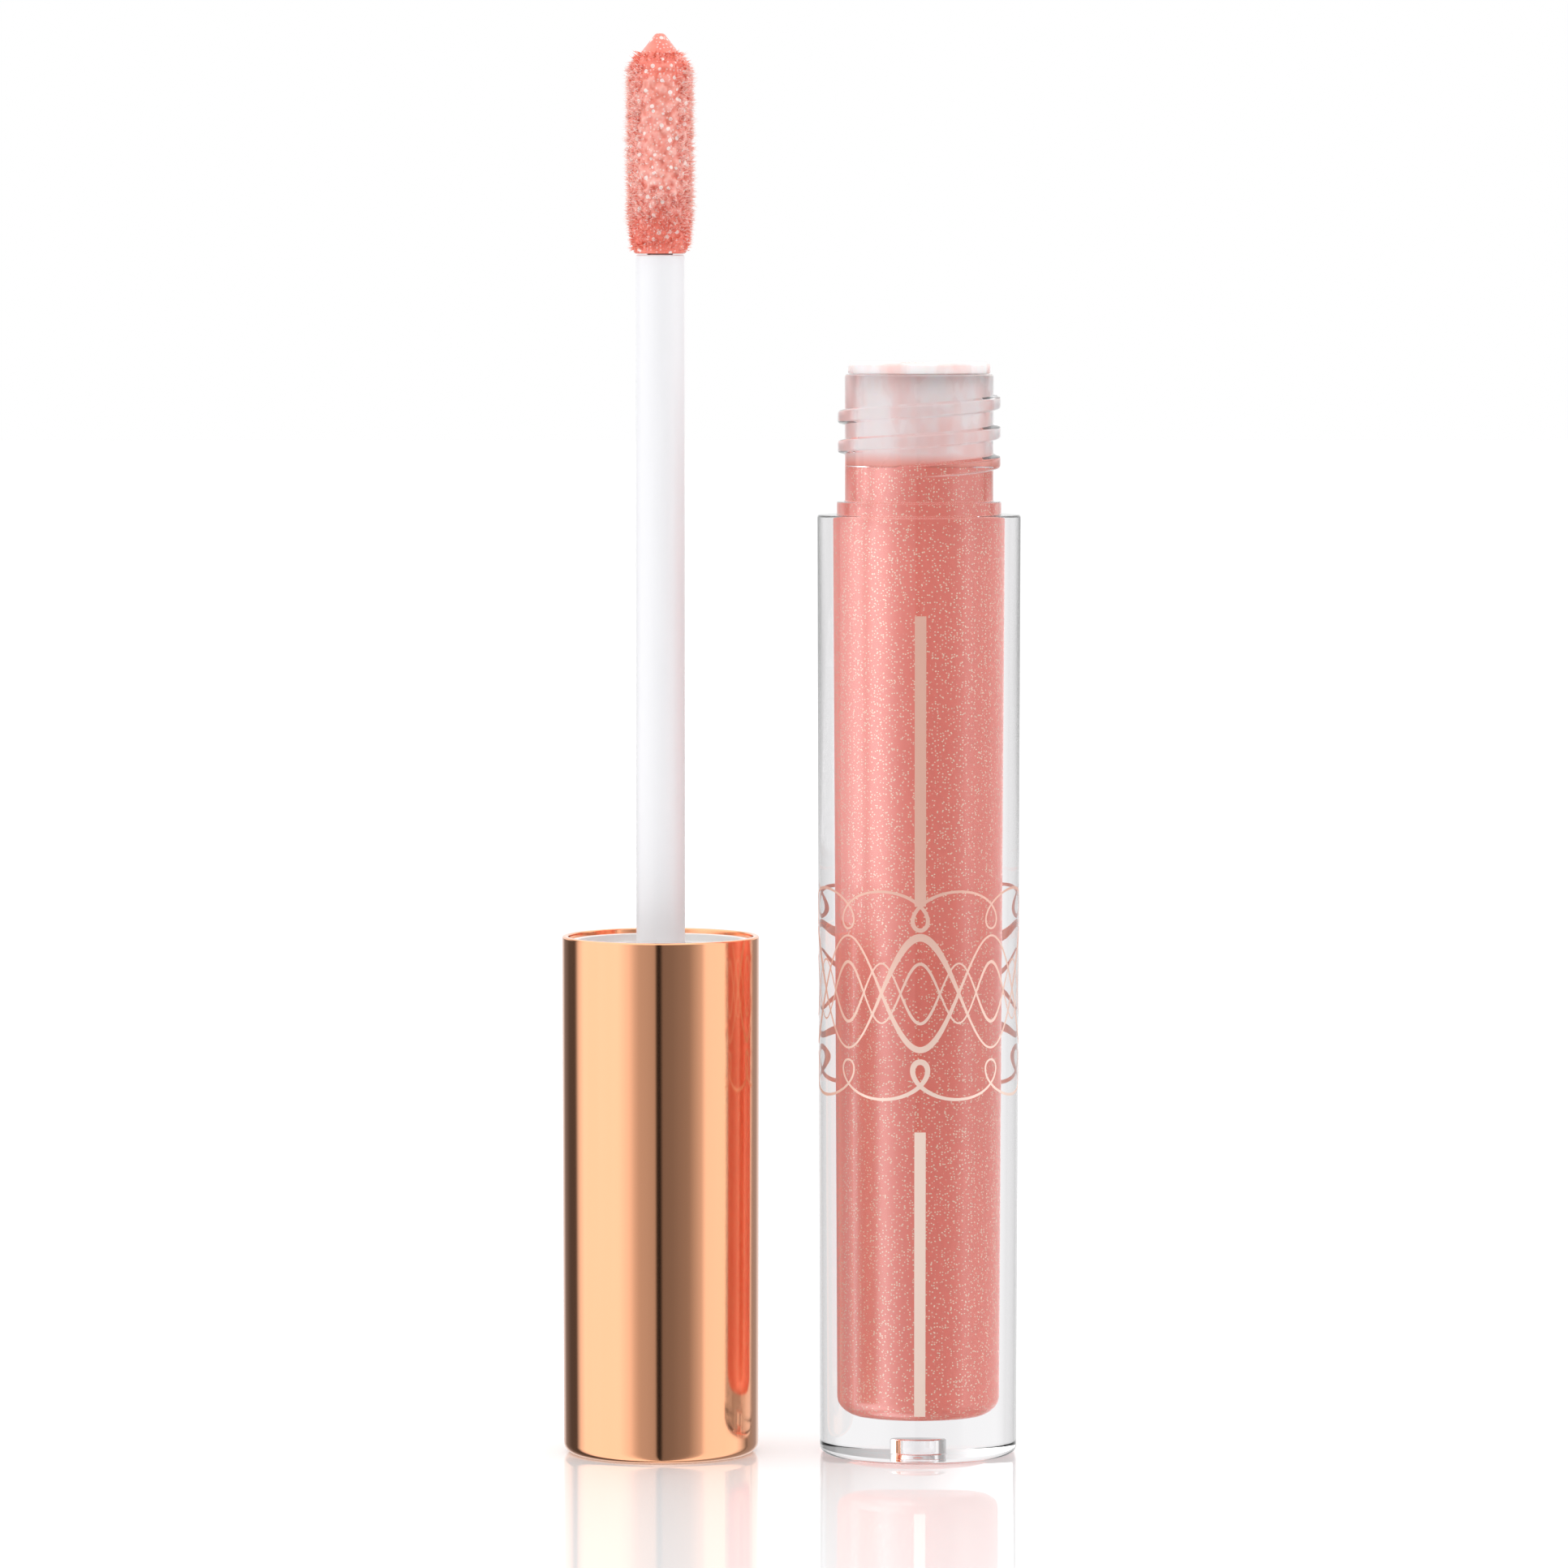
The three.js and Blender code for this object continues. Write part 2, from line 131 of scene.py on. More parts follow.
def studio_world():
    world = bpy.data.worlds.new("studio")
    world.use_nodes = True
    nodes, links = world.node_tree.nodes, world.node_tree.links
    background = nodes["Background"]
    background.inputs["Color"].default_value = (1, 1, 1, 1)
    where = nodes.new("ShaderNodeTexCoord")
    parts = nodes.new("ShaderNodeSeparateXYZ")
    links.new(where.outputs["Generated"], parts.inputs["Vector"])

    toward_camera = nodes.new("ShaderNodeMath")
    toward_camera.operation = "MULTIPLY"
    toward_camera.inputs[1].default_value = -1
    links.new(parts.outputs["Y"], toward_camera.inputs[0])
    bearing = nodes.new("ShaderNodeMath")
    bearing.operation = "ARCTAN2"
    links.new(parts.outputs["X"], bearing.inputs[0])
    links.new(toward_camera.outputs["Value"], bearing.inputs[1])
    share = nodes.new("ShaderNodeMapRange")
    share.inputs["From Min"].default_value = -math.pi
    share.inputs["From Max"].default_value = math.pi
    links.new(bearing.outputs["Value"], share.inputs["Value"])

    def light_round(table):
        """The light from each bearing in a table of (degrees, brightness)."""
        bands = nodes.new("ShaderNodeValToRGB")
        stops = bands.color_ramp.elements
        stops.remove(stops[1])
        brightest = max(value for _, value in table)
        for index, (degrees, value) in enumerate(table):
            place = (degrees + 180) / 360
            stop = stops[0] if index == 0 else stops.new(place)
            stop.position = place
            grey = value / brightest
            stop.color = (grey, grey, grey, 1)
        links.new(share.outputs["Result"], bands.inputs["Fac"])
        scaled = nodes.new("ShaderNodeMath")
        scaled.operation = "MULTIPLY"
        scaled.inputs[1].default_value = brightest
        links.new(bands.outputs["Color"], scaled.inputs[0])
        return scaled.outputs["Value"]

    up = nodes.new("ShaderNodeMapRange")
    up.interpolation_type = "SMOOTHSTEP"
    up.inputs["From Min"].default_value = bands_fade_from
    up.inputs["From Max"].default_value = bands_fade_to
    links.new(parts.outputs["Z"], up.inputs["Value"])

    def blend(first, second, amount):
        """The first light turning into the second as the amount goes from 0 to 1."""
        mix = nodes.new("ShaderNodeMix")
        mix.data_type = "FLOAT"
        for socket, value in ((mix.inputs["A"], first), (mix.inputs["B"], second)):
            if isinstance(value, float):
                socket.default_value = value
            else:
                links.new(value, socket)
        links.new(amount, mix.inputs["Factor"])
        return mix.outputs["Result"]

    behind = nodes.new("ShaderNodeMapRange")
    behind.interpolation_type = "SMOOTHSTEP"
    behind.inputs["From Min"].default_value = backdrop_edges[0]
    behind.inputs["From Max"].default_value = backdrop_edges[1]
    links.new(parts.outputs["Y"], behind.inputs["Value"])
    above = nodes.new("ShaderNodeMapRange")
    above.inputs["From Min"].default_value = -horizon_softness
    above.inputs["From Max"].default_value = horizon_softness
    links.new(parts.outputs["Z"], above.inputs["Value"])
    backdrop = nodes.new("ShaderNodeMath")
    backdrop.operation = "MULTIPLY"
    links.new(behind.outputs["Result"], backdrop.inputs[0])
    links.new(above.outputs["Result"], backdrop.inputs[1])

    # Light seen straight through the plastic is even, and light reflected inside it is banded.
    ray = nodes.new("ShaderNodeLightPath")
    light = blend(light_round(studio_bands), backdrop_light, backdrop.outputs["Value"])
    light = blend(light, overhead_light, up.outputs["Result"])
    unreflected = nodes.new("ShaderNodeMath")
    unreflected.operation = "LESS_THAN"
    unreflected.inputs[1].default_value = 0.5
    links.new(ray.outputs["Glossy Depth"], unreflected.inputs[0])
    straight_through = nodes.new("ShaderNodeMath")
    straight_through.operation = "MULTIPLY"
    links.new(ray.outputs["Is Transmission Ray"], straight_through.inputs[0])
    links.new(unreflected.outputs["Value"], straight_through.inputs[1])
    light = blend(light, seen_through_light, straight_through.outputs["Value"])
    reflected = nodes.new("ShaderNodeMath")
    reflected.operation = "SUBTRACT"
    links.new(ray.outputs["Is Transmission Ray"], reflected.inputs[0])
    links.new(straight_through.outputs["Value"], reflected.inputs[1])
    light = blend(light, light_round(bands_inside_plastic), reflected.outputs["Value"])
    light = blend(light, 1.0, ray.outputs["Is Camera Ray"])
    links.new(light, background.inputs["Strength"])
    return world


bpy.context.scene.world = studio_world()
bpy.context.scene.view_settings.view_transform = "Standard"

# ---------------------------------------------------------------------------
# Vial: one moulding of thick clear plastic. The body is heavy-walled with a
# gate recess under its base; the neck carries a collar ring and the thread.
# ---------------------------------------------------------------------------

vial_low, vial_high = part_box("vial")
vial_axis = (vial_low.x + vial_high.x) / 2
shoulder_radius = (vial_high.x - vial_low.x) / 2
neck_top = vial_high.z
neck_height = 11.8 * MM
neck_radius = 6.25 * MM
shoulder = neck_top - neck_height
foot_radius = shoulder_radius - 0.25 * MM
collar_radius = 6.925 * MM
collar_height = 1.1 * MM
cavity_radius = 4.6 * MM
floor_radius = 4.3 * MM
cavity_floor = 3.4 * MM
cavity_corner = 1.5 * MM
thread_pitch = 2.5 * MM
thread_start = 3.7 * MM
thread_end = 10.3 * MM
thread_start_angle = math.radians(-108)
round_facets = 144
smooth_angle = math.radians(35)


def rounded(outline):
    """The outline's points, with an arc in place of each corner that names a fillet radius."""
    arc_facets = 6
    points = []
    for index, corner in enumerate(outline):
        here = Vector(corner[:2])
        if len(corner) == 2:
            points.append(here)
            continue
        back = (Vector(outline[index - 1][:2]) - here).normalized()
        ahead = (Vector(outline[index + 1][:2]) - here).normalized()
        half = back.angle(ahead) / 2
        centre = here + (back + ahead).normalized() * corner[2] / math.sin(half)
        start = (here + back * corner[2] / math.tan(half) - centre).normalized()
        end = (here + ahead * corner[2] / math.tan(half) - centre).normalized()
        arc = [start.slerp(end, step / arc_facets) for step in range(arc_facets + 1)]
        points += [centre + corner[2] * direction for direction in arc]
    return points


def turned(name, axis, outline, facets=round_facets):
    """Draws an outline of (radius, height) points and spins it into a body round an upright axis."""
    points = rounded(outline)
    bpy.ops.object.select_all(action="DESELECT")
    bpy.ops.mesh.primitive_plane_add(size=MM)
    piece = bpy.context.active_object
    piece.name = piece.data.name = name
    bpy.ops.object.mode_set(mode="EDIT")
    bpy.ops.mesh.select_all(action="SELECT")
    bpy.ops.mesh.merge(type="CENTER")
    bpy.ops.transform.translate(value=(axis + points[0].x, 0, points[0].y))
    for here, ahead in zip(points, points[1:]):
        step = ahead - here
        bpy.ops.mesh.extrude_vertices_move(TRANSFORM_OT_translate={"value": (step.x, 0, step.y)})
    bpy.ops.mesh.select_all(action="SELECT")
    bpy.ops.mesh.spin(steps=facets, angle=math.tau, center=(axis, 0, 0), axis=(0, 0, 1))
    tidy_shell()
    bpy.ops.object.mode_set(mode="OBJECT")
    bpy.ops.object.shade_smooth_by_angle(angle=smooth_angle)
    return piece


def tidy_shell():
    """Merges doubled points and turns all faces outwards."""
    bpy.ops.mesh.select_all(action="SELECT")
    bpy.ops.mesh.remove_doubles(threshold=0.0005 * MM)
    bpy.ops.mesh.normals_make_consistent(inside=False)


def thread_ridge(axis, root, crest, root_width, crest_width, start, end, start_angle):
    """A thread ridge: its section is extruded step by step up a right-handed helix, and sinks
    back into the wall over the last part of a turn at both ends."""
    steps_per_turn = 60
    runout = 9  # steps over which each end sinks into the wall
    sinking = 0.62  # share of the ridge's depth that the ends sink by
    crest_fillet = 0.24 * MM
    turns = (end - start) / thread_pitch
    steps = round(turns * steps_per_turn)
    depth = crest - root
    bpy.ops.object.select_all(action="DESELECT")
    bpy.ops.mesh.primitive_plane_add(size=MM)
    ridge = bpy.context.active_object
    bpy.ops.object.mode_set(mode="EDIT")
    bpy.ops.mesh.select_all(action="SELECT")
    bpy.ops.mesh.merge(type="CENTER")
    section = rounded([
        (root, start - root_width / 2),
        (crest, start - crest_width / 2, crest_fillet),
        (crest, start + crest_width / 2, crest_fillet),
        (root, start + root_width / 2),
    ])
    bpy.ops.transform.translate(value=(axis + section[0].x, 0, section[0].y))
    for here, ahead in zip(section, section[1:]):
        bpy.ops.mesh.extrude_vertices_move(
            TRANSFORM_OT_translate={"value": (ahead.x - here.x, 0, ahead.y - here.y)})
    bpy.ops.mesh.select_all(action="SELECT")
    bpy.ops.mesh.edge_face_add()
    about_axis = (axis, 0, 0)

    def sunk(step):
        share = min(1, step / runout, (steps - step) / runout)
        return (crest - depth * sinking * (1 - math.sin(share * math.pi / 2))) / crest

    bpy.ops.transform.rotate(value=-start_angle, orient_axis="Z", center_override=about_axis)
    bpy.ops.transform.resize(value=(sunk(0), sunk(0), 1), center_override=about_axis)
    rise = (end - start) / steps
    turn = math.tau * turns / steps
    for step in range(steps):
        bpy.ops.mesh.extrude_region_move(TRANSFORM_OT_translate={"value": (0, 0, rise)})
        bpy.ops.transform.rotate(value=-turn, orient_axis="Z", center_override=about_axis)
        shrink = sunk(step + 1) / sunk(step)
        if shrink != 1:
            bpy.ops.transform.resize(value=(shrink, shrink, 1), center_override=about_axis)
    tidy_shell()
    bpy.ops.object.mode_set(mode="OBJECT")
    return ridge


def join_on(piece, extra):
    """Joins another body to the piece, and leaves one closed shell."""
    bpy.ops.object.select_all(action="DESELECT")
    bpy.context.view_layer.objects.active = piece
    piece.select_set(True)
    joined = piece.modifiers.new("join", "BOOLEAN")
    joined.operation = "UNION"
    joined.solver = "MANIFOLD"
    joined.object = extra
    bpy.ops.object.modifier_apply(modifier=joined.name)
    bpy.data.objects.remove(extra)
    bpy.ops.object.shade_smooth_by_angle(angle=smooth_angle)


def clear_plastic():
    material, nodes, links, surface = new_material("clear_vial_plastic")
    surface.inputs["Base Color"].default_value = (0.985, 0.975, 0.985, 1)
    surface.inputs["Transmission Weight"].default_value = 1
    surface.inputs["IOR"].default_value = 1.57
    where = nodes.new("ShaderNodeTexCoord")
    ripple = nodes.new("ShaderNodeTexNoise")
    ripple.inputs["Scale"].default_value = 260
    smear = nodes.new("ShaderNodeMapRange")
    smear.inputs["From Min"].default_value = 0.55
    smear.inputs["From Max"].default_value = 0.8
    smear.inputs["To Max"].default_value = 0.02
    links.new(where.outputs["Object"], ripple.inputs["Vector"])
    links.new(ripple.outputs["Fac"], smear.inputs["Value"])
    links.new(smear.outputs["Result"], surface.inputs["Roughness"])
    # Lamps shine straight through, so the gloss inside is lit.
    ray = nodes.new("ShaderNodeLightPath")
    clear = nodes.new("ShaderNodeBsdfTransparent")
    clear.inputs["Color"].default_value = (0.93, 0.92, 0.93, 1)
    mix = nodes.new("ShaderNodeMixShader")
    output = nodes["Material Output"]
    links.new(ray.outputs["Is Shadow Ray"], mix.inputs["Fac"])
    links.new(surface.outputs["BSDF"], mix.inputs[1])
    links.new(clear.outputs["BSDF"], mix.inputs[2])
    links.new(mix.outputs["Shader"], output.inputs["Surface"])
    return material


dish_edge = foot_radius - 2.1 * MM
dish_depth = 0.4 * MM
gate_radius = 1.5 * MM
gate_roof = dish_depth + 1.3 * MM
vial = turned("clear_vial", vial_axis, [
    (0, gate_roof),
    (gate_radius, gate_roof, 0.15 * MM),
    (gate_radius, dish_depth, 0.1 * MM),
    (dish_edge - dish_depth, dish_depth, 0.3 * MM),
    (dish_edge, 0, 0.2 * MM),
    (foot_radius, 0, 0.6 * MM),
    (shoulder_radius, shoulder, 0.2 * MM),
    (collar_radius, shoulder, 0.08 * MM),
    (collar_radius, shoulder + collar_height, 0.12 * MM),
    (neck_radius, shoulder + collar_height, 0.15 * MM),
    (neck_radius, neck_top, 0.2 * MM),
    (cavity_radius, neck_top, 0.1 * MM),
    (floor_radius, cavity_floor, cavity_corner),
    (0, cavity_floor),
])
vial.data.materials.append(clear_plastic())
neck_ridge_root = neck_radius - 0.35 * MM  # sunk into the wall of the neck
neck_ridge_crest = neck_radius + 0.6 * MM
join_on(vial, thread_ridge(
    vial_axis, neck_ridge_root, neck_ridge_crest, root_width=1.5 * MM, crest_width=0.95 * MM,
    start=shoulder + thread_start, end=shoulder + thread_end, start_angle=thread_start_angle))
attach(vial, "vial")
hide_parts("vial")

# ---------------------------------------------------------------------------
# Wiper: a soft milky plug pressed into the neck. Its flange sits on the neck,
# its mouth is rounded, and its funnel lip scrapes the wand. Gloss smears it.
# ---------------------------------------------------------------------------

wiper_low, wiper_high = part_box("wiper")
flange_radius = (wiper_high.x - wiper_low.x) / 2
wiper_bore = 3.82 * MM
wiper_lip = wiper_low.z
lip_radius = 2.15 * MM
lip_wall = 0.45 * MM
press_fit = 0.01 * MM
flange_gap = 0.04 * MM
skirt_foot = shoulder + 4.0 * MM  # where the plug leaves the wall and narrows to its lip


def smears(nodes, links, where, scale, low, high):
    """A soft mask of gloss left on the plug, in streaks drawn out along Z."""
    stretch = nodes.new("ShaderNodeMapping")
    stretch.inputs["Scale"].default_value = (1, 1, 0.55)
    noise = nodes.new("ShaderNodeTexNoise")
    noise.inputs["Scale"].default_value = scale
    noise.inputs["Detail"].default_value = 3
    mask = nodes.new("ShaderNodeMapRange")
    mask.interpolation_type = "SMOOTHSTEP"
    mask.inputs["From Min"].default_value = low
    mask.inputs["From Max"].default_value = high
    links.new(where, stretch.inputs["Vector"])
    links.new(stretch.outputs["Vector"], noise.inputs["Vector"])
    links.new(noise.outputs["Fac"], mask.inputs["Value"])
    return mask.outputs["Result"]


def milky_plastic():
    material, nodes, links, surface = new_material("milky_wiper_plastic")
    surface.inputs["Subsurface Weight"].default_value = 0.4
    surface.inputs["Subsurface Radius"].default_value = (1.0, 0.6, 0.5)
    surface.inputs["Subsurface Scale"].default_value = 0.8 * MM
    where = nodes.new("ShaderNodeTexCoord")
    smeared = smears(nodes, links, where.outputs["Object"], 260, 0.40, 0.68)
    height = nodes.new("ShaderNodeSeparateXYZ")
    links.new(where.outputs["Object"], height.inputs["Vector"])
    dipped = nodes.new("ShaderNodeMapRange")
    dipped.interpolation_type = "SMOOTHSTEP"
    dipped.inputs["From Min"].default_value = skirt_foot + 1.9 * MM
    dipped.inputs["From Max"].default_value = skirt_foot - 0.1 * MM
    links.new(height.outputs["Z"], dipped.inputs["Value"])
    most = nodes.new("ShaderNodeMath")
    most.operation = "MAXIMUM"
    thin = nodes.new("ShaderNodeMath")
    thin.operation = "MULTIPLY"
    thin.inputs[1].default_value = 0.42
    links.new(smeared, thin.inputs[0])
    links.new(thin.outputs["Value"], most.inputs[0])
    links.new(dipped.outputs["Result"], most.inputs[1])
    tint = nodes.new("ShaderNodeMixRGB")
    tint.inputs["Color1"].default_value = (0.89, 0.865, 0.87, 1)
    tint.inputs["Color2"].default_value = (0.88, 0.30, 0.23, 1)
    links.new(most.outputs["Value"], tint.inputs["Fac"])
    links.new(tint.outputs["Color"], surface.inputs["Base Color"])
    wet = nodes.new("ShaderNodeMapRange")
    wet.inputs["To Min"].default_value = 0.35
    wet.inputs["To Max"].default_value = 0.12
    links.new(smeared, wet.inputs["Value"])
    links.new(wet.outputs["Result"], surface.inputs["Roughness"])
    return material


wiper = turned("wiper_plug", vial_axis, [
    (lip_radius, wiper_lip),
    (lip_radius + lip_wall, wiper_lip, 0.15 * MM),
    (cavity_radius + press_fit, skirt_foot, 0.3 * MM),
    (cavity_radius + press_fit, neck_top + flange_gap),
    (flange_radius, neck_top + flange_gap, 0.1 * MM),
    (flange_radius, wiper_high.z, 0.25 * MM),
    (wiper_bore, wiper_high.z, 0.6 * MM),
    (wiper_bore, shoulder + 6.4 * MM, 0.8 * MM),
    (lip_radius, wiper_lip + 0.3 * MM, 0.1 * MM),
    (lip_radius, wiper_lip),
])
wiper.data.materials.append(milky_plastic())
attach(wiper, "vial")
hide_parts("wiper")

# ---------------------------------------------------------------------------
# Gloss: thick coral-pink liquid with a fine shimmer. It wets the wall of the
# cavity, so it reaches the plastic, and it climbs round the wiper's funnel.
# ---------------------------------------------------------------------------


def spot_mask_group():
    """Tiny spots scattered over a surface: the flakes in the gloss, and the painted glints on the
    flock. Mask is 1 on a spot and 0 between them.
    """
    group = bpy.data.node_groups.new("flake_and_glint_spot_mask", "ShaderNodeTree")
    group.interface.new_socket("Vector", in_out="INPUT", socket_type="NodeSocketVector")
    group.interface.new_socket("Scale", in_out="INPUT", socket_type="NodeSocketFloat")
    group.interface.new_socket("Size", in_out="INPUT", socket_type="NodeSocketFloat")
    group.interface.new_socket("Mask", in_out="OUTPUT", socket_type="NodeSocketFloat")
    share_of_empty_cells = 0.4
    nodes, links = group.nodes, group.links
    given = nodes.new("NodeGroupInput")
    result = nodes.new("NodeGroupOutput")
    cells = nodes.new("ShaderNodeTexVoronoi")
    links.new(given.outputs["Vector"], cells.inputs["Vector"])
    links.new(given.outputs["Scale"], cells.inputs["Scale"])
    inside = nodes.new("ShaderNodeMath")
    inside.operation = "LESS_THAN"
    links.new(cells.outputs["Distance"], inside.inputs[0])
    links.new(given.outputs["Size"], inside.inputs[1])
    tones = nodes.new("ShaderNodeSeparateColor")
    links.new(cells.outputs["Color"], tones.inputs["Color"])
    chosen = nodes.new("ShaderNodeMath")
    chosen.operation = "GREATER_THAN"
    chosen.inputs[1].default_value = share_of_empty_cells
    links.new(tones.outputs["Red"], chosen.inputs[0])
    both = nodes.new("ShaderNodeMath")
    both.operation = "MULTIPLY"
    links.new(inside.outputs["Value"], both.inputs[0])
    links.new(chosen.outputs["Value"], both.inputs[1])
    links.new(both.outputs["Value"], result.inputs["Mask"])
    return group


flake_and_glint_spots = spot_mask_group()
flakes_per_metre = 5400


def gloss_liquid():
    material, nodes, links, surface = new_material("coral_gloss")
    surface.inputs["IOR"].default_value = 2.2
    where = nodes.new("ShaderNodeTexCoord")
    flakes = nodes.new("ShaderNodeGroup")
    flakes.node_tree = flake_and_glint_spots
    flakes.inputs["Scale"].default_value = flakes_per_metre
    flakes.inputs["Size"].default_value = 0.32
    links.new(where.outputs["Object"], flakes.inputs["Vector"])
    clouds = nodes.new("ShaderNodeTexNoise")
    clouds.inputs["Scale"].default_value = 120
    links.new(where.outputs["Object"], clouds.inputs["Vector"])
    body = nodes.new("ShaderNodeMixRGB")
    body.inputs["Color1"].default_value = (0.84, 0.150, 0.100, 1)
    body.inputs["Color2"].default_value = (0.90, 0.195, 0.135, 1)
    links.new(clouds.outputs["Fac"], body.inputs["Fac"])
    # The flakes are painted pale gold: partly their own colour and partly painted glints.
    flake_share = nodes.new("ShaderNodeMath")
    flake_share.operation = "MULTIPLY"
    flake_share.inputs[1].default_value = 0.9
    links.new(flakes.outputs["Mask"], flake_share.inputs[0])
    flake_colour_and_glint = nodes.new("ShaderNodeMixRGB")
    flake_colour_and_glint.inputs["Color2"].default_value = (1.0, 0.82, 0.62, 1)
    links.new(flake_share.outputs["Value"], flake_colour_and_glint.inputs["Fac"])
    links.new(body.outputs["Color"], flake_colour_and_glint.inputs["Color1"])
    links.new(flake_colour_and_glint.outputs["Color"], surface.inputs["Base Color"])
    satin = nodes.new("ShaderNodeMapRange")
    satin.inputs["To Min"].default_value = 0.34
    satin.inputs["To Max"].default_value = 0.2
    links.new(flakes.outputs["Mask"], satin.inputs["Value"])
    links.new(satin.outputs["Result"], surface.inputs["Roughness"])
    return material


wetting = 0.02 * MM  # the liquid reaches just into the wall it wets
gloss_edge = shoulder + 4.1 * MM
gloss = turned("gloss_fill_body", vial_axis, [
    (0, cavity_floor - wetting),
    (floor_radius + wetting, cavity_floor - wetting, cavity_corner),
    (cavity_radius + wetting, gloss_edge, 0.1 * MM),
    (lip_radius + 0.75 * MM, wiper_lip - 0.2 * MM, 0.4 * MM),
    (0, wiper_lip - 0.35 * MM),
])
gloss.data.materials.append(gloss_liquid())
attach(gloss, "vial")
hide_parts("gloss_fill")

# ---------------------------------------------------------------------------
# Foil print: two upright bars and a curled band between them, hot-stamped on
# the outside of the vial in rose-gold foil that pales towards the base.
# ---------------------------------------------------------------------------

foil_lift = 0.004 * MM
foil_thickness = 0.015 * MM
bar_width = 0.95 * MM
print_radius = (foot_radius + shoulder_radius) / 2
band_middle = 39.6 * MM
motif_count = 4


def wrap_on_vial(piece):
    """Rolls a flat drawing in X and Z round the vial's tapered wall, front centre at X = 0."""
    for point in piece.data.vertices:
        along, out, height = point.co
        angle = along / print_radius
        wall = foot_radius + (shoulder_radius - foot_radius) * height / shoulder
        reach = wall + foil_lift + foil_thickness / 2 - out
        point.co = (vial_axis + reach * math.sin(angle), -reach * math.cos(angle), height)


def foil():
    material, nodes, links, surface = new_material("rose_foil")
    surface.inputs["Metallic"].default_value = 0.3
    where = nodes.new("ShaderNodeTexCoord")
    height = nodes.new("ShaderNodeSeparateXYZ")
    links.new(where.outputs["Object"], height.inputs["Vector"])
    fade = nodes.new("ShaderNodeMapRange")
    fade.inputs["From Min"].default_value = 50 * MM
    fade.inputs["From Max"].default_value = 29 * MM
    links.new(height.outputs["Z"], fade.inputs["Value"])
    tone = nodes.new("ShaderNodeMixRGB")
    tone.inputs["Color1"].default_value = (0.80, 0.46, 0.37, 1)
    tone.inputs["Color2"].default_value = (0.97, 0.76, 0.66, 1)
    links.new(fade.outputs["Result"], tone.inputs["Fac"])
    links.new(tone.outputs["Color"], surface.inputs["Base Color"])
    wear = nodes.new("ShaderNodeTexNoise")
    wear.inputs["Scale"].default_value = 1800
    links.new(where.outputs["Object"], wear.inputs["Vector"])
    satin = nodes.new("ShaderNodeMapRange")
    satin.inputs["To Min"].default_value = 0.35
    satin.inputs["To Max"].default_value = 0.5
    links.new(wear.outputs["Fac"], satin.inputs["Value"])
    links.new(satin.outputs["Result"], surface.inputs["Roughness"])
    return material


foil_finish = foil()


def place_foil(piece, name):
    piece.name = piece.data.name = name
    piece.data.materials.append(foil_finish)
    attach(piece, "vial")


def foil_bar(name, low, high):
    """An upright bar of foil on the front of the vial."""
    bpy.ops.object.select_all(action="DESELECT")
    upright = (math.pi / 2, 0, 0)
    bpy.ops.mesh.primitive_grid_add(x_subdivisions=6, y_subdivisions=48, size=1, rotation=upright)
    bar = bpy.context.active_object
    bpy.ops.object.transform_apply(location=True, rotation=True, scale=True)
    bpy.ops.object.mode_set(mode="EDIT")
    bpy.ops.mesh.select_all(action="SELECT")
    bpy.ops.transform.resize(value=(bar_width, 1, high - low))
    bpy.ops.transform.translate(value=(0, 0, (low + high) / 2))
    bpy.ops.mesh.extrude_region_move(TRANSFORM_OT_translate={"value": (0, foil_thickness / 2, 0)})
    tidy_shell()
    bpy.ops.object.mode_set(mode="OBJECT")
    wrap_on_vial(bar)
    bpy.ops.object.shade_smooth_by_angle(angle=smooth_angle)
    place_foil(bar, name)


foil_bar("foil_bar_upper", 46.9 * MM, 71.1 * MM)
foil_bar("foil_bar_lower", 4.1 * MM, 28.0 * MM)


def foil_stroke(name, path, swell):
    """A pen stroke all round the vial: path gives its (along, height) and swell its width, from
    how far round it is, as an angle from the back through the front to the back again. It is
    drawn as a round line, and then pressed flat to the thickness of the foil."""
    steps = 480
    round_line_width = 0.4 * MM
    drawing = bpy.data.curves.new(name, "CURVE")
    drawing.dimensions = "3D"
    drawing.bevel_depth = 0.5 * MM
    drawing.bevel_resolution = 1
    drawing.use_fill_caps = True
    line = drawing.splines.new("POLY")
    line.points.add(steps)
    for step, point in enumerate(line.points):
        turn = math.tau * (step / steps - 0.5)
        along, height = path(turn)
        point.co = (along, 0, height, 1)
        point.radius = swell(turn) / MM
    stroke = bpy.data.objects.new(name, drawing)
    bpy.context.collection.objects.link(stroke)
    bpy.ops.object.select_all(action="DESELECT")
    bpy.context.view_layer.objects.active = stroke
    stroke.select_set(True)
    bpy.ops.object.convert(target="MESH")
    stroke = bpy.context.active_object
    bpy.ops.object.mode_set(mode="EDIT")
    bpy.ops.mesh.select_all(action="SELECT")
    flat = foil_thickness / round_line_width
    bpy.ops.transform.resize(value=(1, flat, 1), center_override=(0, 0, 0))
    tidy_shell()
    bpy.ops.object.mode_set(mode="OBJECT")
    wrap_on_vial(stroke)
    bpy.ops.object.shade_smooth_by_angle(angle=math.radians(60))
    place_foil(stroke, name)


def wave(reach, repeats):
    """A plain wave round the vial."""
    return lambda turn: (turn * print_radius, band_middle + reach * math.cos(repeats * turn))


def curls(loop, repeats, lift, side):
    """A running row of loops round the vial, hanging from a line above or below the middle."""
    loop_spread = 1.25

    def path(turn):
        along = turn * print_radius - loop * loop_spread * math.sin(repeats * turn)
        return along, band_middle + lift - side * loop * math.cos(repeats * turn)

    return path


def swelling(thin, thick, repeats):
    """A pen's pressure, heavy once in each repeat."""
    return lambda turn: thin + (thick - thin) * (0.5 + 0.5 * math.cos(repeats * turn)) ** 2


